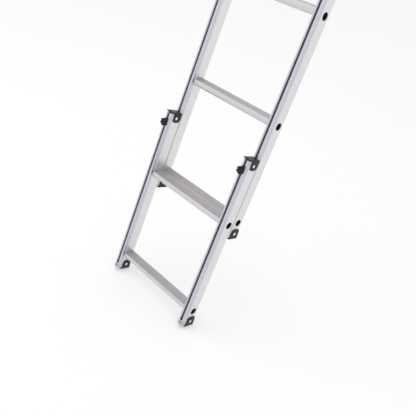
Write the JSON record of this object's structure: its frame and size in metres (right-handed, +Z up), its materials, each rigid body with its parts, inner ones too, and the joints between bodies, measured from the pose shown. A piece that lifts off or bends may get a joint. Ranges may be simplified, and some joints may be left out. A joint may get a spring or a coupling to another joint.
{
  "type": "attic ladder",
  "caption": "Aluminium attic ladder: a main section with level treads and a sliding foot section clamped by star knobs to set the height.",
  "frame": {"origin": "on the floor, in the middle of the ladder's width and depth as it leans in use", "axes": "+Z up with the treads level, +X across to the right as the climber faces the ladder, +Y from the climber's side to the back; the stiles lean back by 12.5 degrees"},
  "size_m": [0.33, 0.3112, 1.061],
  "materials": {
    "stile": "satin anodised extrusion",
    "tread": "ribbed mill-finish extrusion",
    "bracket": "black moulded nylon, fine grain",
    "knob": "black moulded plastic",
    "cap": "black moulded plastic",
    "plug": "black moulded plastic",
    "rivet": "bright domed rivet",
    "steel": "zinc-plated steel"
  },
  "bodies": {
    "main": {"main_stile_left": "stile", "main_stile_right": "stile", "main_tread_1": "tread", "main_tread_1_bolt_left": "steel", "main_tread_1_cap_left": "cap", "main_tread_1_bolt_right": "steel", "main_tread_1_cap_right": "cap", "main_tread_2": "tread", "main_tread_2_bolt_left": "steel", "main_tread_2_cap_left": "cap", "main_tread_2_bolt_right": "steel", "main_tread_2_cap_right": "cap", "main_tread_3": "tread", "main_tread_3_bolt_left": "steel", "main_tread_3_cap_left": "cap", "main_tread_3_bolt_right": "steel", "main_tread_3_cap_right": "cap", "main_foot_bracket_left": "bracket", "main_foot_rivet_left": "rivet", "main_top_bracket_left": "bracket", "main_top_rivet_left": "rivet", "main_end_plug_left": "plug", "main_foot_bracket_right": "bracket", "main_foot_rivet_right": "rivet", "main_top_bracket_right": "bracket", "main_top_rivet_right": "rivet", "main_end_plug_right": "plug"},
    "lower": {"lower_stile_left": "stile", "lower_stile_right": "stile", "lower_tread_1": "tread", "lower_tread_1_bolt_left": "steel", "lower_tread_1_cap_left": "cap", "lower_tread_1_bolt_right": "steel", "lower_tread_1_cap_right": "cap", "lower_tread_2": "tread", "lower_tread_2_bolt_left": "steel", "lower_tread_2_cap_left": "cap", "lower_tread_2_bolt_right": "steel", "lower_tread_2_cap_right": "cap", "lower_foot_bracket_left": "bracket", "lower_foot_rivet_left": "rivet", "lower_top_bracket_left": "bracket", "lower_top_rivet_left": "rivet", "lower_end_plug_left": "plug", "lower_foot_bracket_right": "bracket", "lower_foot_rivet_right": "rivet", "lower_top_bracket_right": "bracket", "lower_top_rivet_right": "rivet", "lower_end_plug_right": "plug", "clamp_washer_left": "steel", "clamp_slot_nut_left": "steel", "clamp_washer_right": "steel", "clamp_slot_nut_right": "steel"},
    "knob_left": {"clamp_knob_left": "knob", "clamp_stud_left": "steel"},
    "knob_right": {"clamp_knob_right": "knob", "clamp_stud_right": "steel"}
  },
  "joints": [
    {"name": "section_slide", "type": "slide", "parent": "main", "child": "lower", "axis": [0, 0.2164, 0.9763], "range_m": [-0.15, 0.28]},
    {"name": "knob_left_turn", "type": "hinge", "parent": "lower", "child": "knob_left", "pos_m": [-0.149, -0.04999, 0.48625], "axis": [0, -0.9763, 0.2164], "range_deg": [0, 540]},
    {"name": "knob_right_turn", "type": "hinge", "parent": "lower", "child": "knob_right", "pos_m": [0.149, -0.04999, 0.48625], "axis": [0, -0.9763, 0.2164], "range_deg": [0, 540]}
  ]
}
